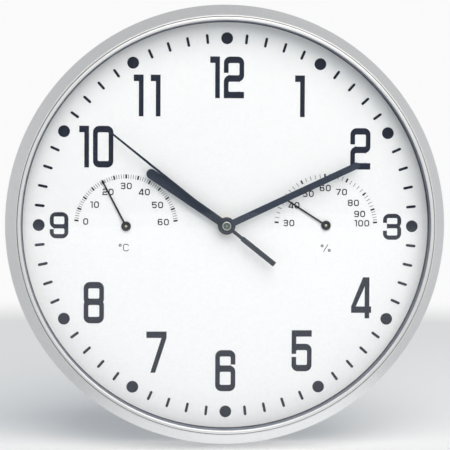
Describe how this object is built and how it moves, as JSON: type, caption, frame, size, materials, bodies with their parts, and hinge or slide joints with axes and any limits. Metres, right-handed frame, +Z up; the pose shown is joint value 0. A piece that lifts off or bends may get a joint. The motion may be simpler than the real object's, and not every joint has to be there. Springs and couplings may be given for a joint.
{
  "type": "wall clock with thermometer and hygrometer",
  "caption": "Round silver-rimmed quartz wall clock with a white numbered dial and two small pointer instruments for temperature and humidity.",
  "frame": {"origin": "where the axis of the hands meets the wall, on the plane of the rear rim", "axes": "+Y into the wall, -Y out of the dial, +X right and +Z up as the dial is read"},
  "size_m": [0.3, 0.04, 0.3],
  "materials": {
    "silver_rim": "silver paint, satin",
    "clear_lens": "polished clear",
    "black_seal": "matt",
    "dial_white": "smooth matt",
    "dial_ink": "printed ink",
    "scale_ink": "printed ink",
    "hand_paint": "satin dark paint",
    "pointer_paint": "satin dark paint",
    "bright_tube": "turned",
    "brass_turned": "turned",
    "gasket_rubber": "matt",
    "back_plastic": "moulded, matt",
    "screw_steel": "zinc plated",
    "movement_plastic": "moulded, fine texture",
    "hanger_steel": "pressed sheet",
    "gear_plastic": "natural moulded",
    "motor_iron": "stamped",
    "bobbin_plastic": "moulded",
    "winding_copper": "enamelled copper wire",
    "board_laminate": "laminate",
    "chip_resin": "cast resin",
    "crystal_can": "drawn can",
    "contact_metal": "nickel plated strip",
    "cell_jacket": "printed jacket",
    "knob_plastic": "moulded",
    "cup_plastic": "moulded",
    "coil_strip": "rolled strip"
  },
  "bodies": {
    "root": {"bezel": "silver_rim", "lens": "clear_lens", "spacer_ring": "silver_rim", "dust_seal": "black_seal", "dial": "dial_white", "hour_numerals": "dial_ink", "minute_track": "dial_ink", "thermometer_scale": "scale_ink", "hygrometer_scale": "scale_ink", "back_plate": "back_plastic", "case_screws": "screw_steel", "threaded_bushing": "brass_turned", "hex_nut": "brass_turned", "brass_washer": "brass_turned", "rubber_gasket": "gasket_rubber", "movement_case": "movement_plastic", "movement_cover": "movement_plastic", "hanger": "hanger_steel", "battery": "cell_jacket", "positive_contact": "contact_metal", "negative_contact": "contact_metal", "stator": "motor_iron", "coil_core": "motor_iron", "coil_bobbin": "bobbin_plastic", "coil_winding": "winding_copper", "circuit_board": "board_laminate", "timing_chip": "chip_resin", "quartz_crystal": "crystal_can", "thermometer_cup": "cup_plastic", "thermometer_cap": "cup_plastic", "thermometer_coil": "coil_strip", "hygrometer_cup": "cup_plastic", "hygrometer_cap": "cup_plastic", "hygrometer_coil": "coil_strip"},
    "second_hand": {"second_hand": "hand_paint", "second_hand_tube": "bright_tube", "seconds_wheel": "gear_plastic"},
    "minute_hand": {"minute_hand": "hand_paint", "minute_arbor": "gear_plastic"},
    "hour_hand": {"hour_hand": "hand_paint", "hour_wheel": "gear_plastic"},
    "rotor": {"rotor": "gear_plastic"},
    "intermediate_wheel": {"intermediate_wheel": "gear_plastic"},
    "third_wheel": {"third_wheel": "gear_plastic"},
    "centre_wheel": {"centre_wheel": "gear_plastic"},
    "minute_wheel": {"minute_wheel": "gear_plastic"},
    "setting_knob": {"setting_knob": "knob_plastic"},
    "thermometer_pointer": {"thermometer_pointer": "pointer_paint", "thermometer_arbor": "brass_turned"},
    "hygrometer_pointer": {"hygrometer_pointer": "pointer_paint", "hygrometer_arbor": "brass_turned"}
  },
  "joints": [
    {"name": "second_hand_turn", "type": "hinge", "parent": "root", "child": "second_hand", "pos_m": [0, -0.015, 0], "axis": [0, 1, 0], "continuous": true},
    {"name": "minute_hand_turn", "type": "hinge", "parent": "root", "child": "minute_hand", "pos_m": [0, -0.02, 0], "axis": [0, 1, 0], "continuous": true},
    {"name": "hour_hand_turn", "type": "hinge", "parent": "root", "child": "hour_hand", "pos_m": [0, -0.022, 0], "axis": [0, 1, 0], "continuous": true},
    {"name": "rotor_turn", "type": "hinge", "parent": "root", "child": "rotor", "pos_m": [0.01028, -0.015, 0.01582], "axis": [0, 1, 0], "continuous": true},
    {"name": "intermediate_wheel_turn", "type": "hinge", "parent": "root", "child": "intermediate_wheel", "pos_m": [0.00212, -0.009, 0.01201], "axis": [0, 1, 0], "continuous": true},
    {"name": "third_wheel_turn", "type": "hinge", "parent": "root", "child": "third_wheel", "pos_m": [-0.00996, -0.015, 0.00575], "axis": [0, 1, 0], "continuous": true},
    {"name": "centre_wheel_turn", "type": "hinge", "parent": "root", "child": "centre_wheel", "pos_m": [0, -0.0145, 0], "axis": [0, 1, 0], "continuous": true},
    {"name": "minute_wheel_turn", "type": "hinge", "parent": "root", "child": "minute_wheel", "pos_m": [0.01043, -0.017, 0.0028], "axis": [0, 1, 0], "continuous": true},
    {"name": "setting_knob_turn", "type": "hinge", "parent": "root", "child": "setting_knob", "pos_m": [0.02107, -0.01, 0.00092], "axis": [0, 1, 0], "continuous": true},
    {"name": "thermometer_pointer_turn", "type": "hinge", "parent": "root", "child": "thermometer_pointer", "pos_m": [-0.0679, -0.02, -0.0006], "axis": [0, 1, 0], "range_deg": [-55.85, 111.15]},
    {"name": "hygrometer_pointer_turn", "type": "hinge", "parent": "root", "child": "hygrometer_pointer", "pos_m": [0.0679, -0.02, 0.0004], "axis": [0, 1, 0], "range_deg": [-29.3, 143.7]}
  ],
  "couplings": [
    {"joint": "intermediate_wheel_turn", "follows": "second_hand_turn", "ratio": -6},
    {"joint": "rotor_turn", "follows": "second_hand_turn", "ratio": 30},
    {"joint": "third_wheel_turn", "follows": "second_hand_turn", "ratio": -0.13333},
    {"joint": "centre_wheel_turn", "follows": "second_hand_turn", "ratio": 0.016667},
    {"joint": "minute_wheel_turn", "follows": "minute_hand_turn", "ratio": -0.33333},
    {"joint": "hour_hand_turn", "follows": "minute_hand_turn", "ratio": 0.083333},
    {"joint": "setting_knob_turn", "follows": "minute_hand_turn", "ratio": 1}
  ]
}
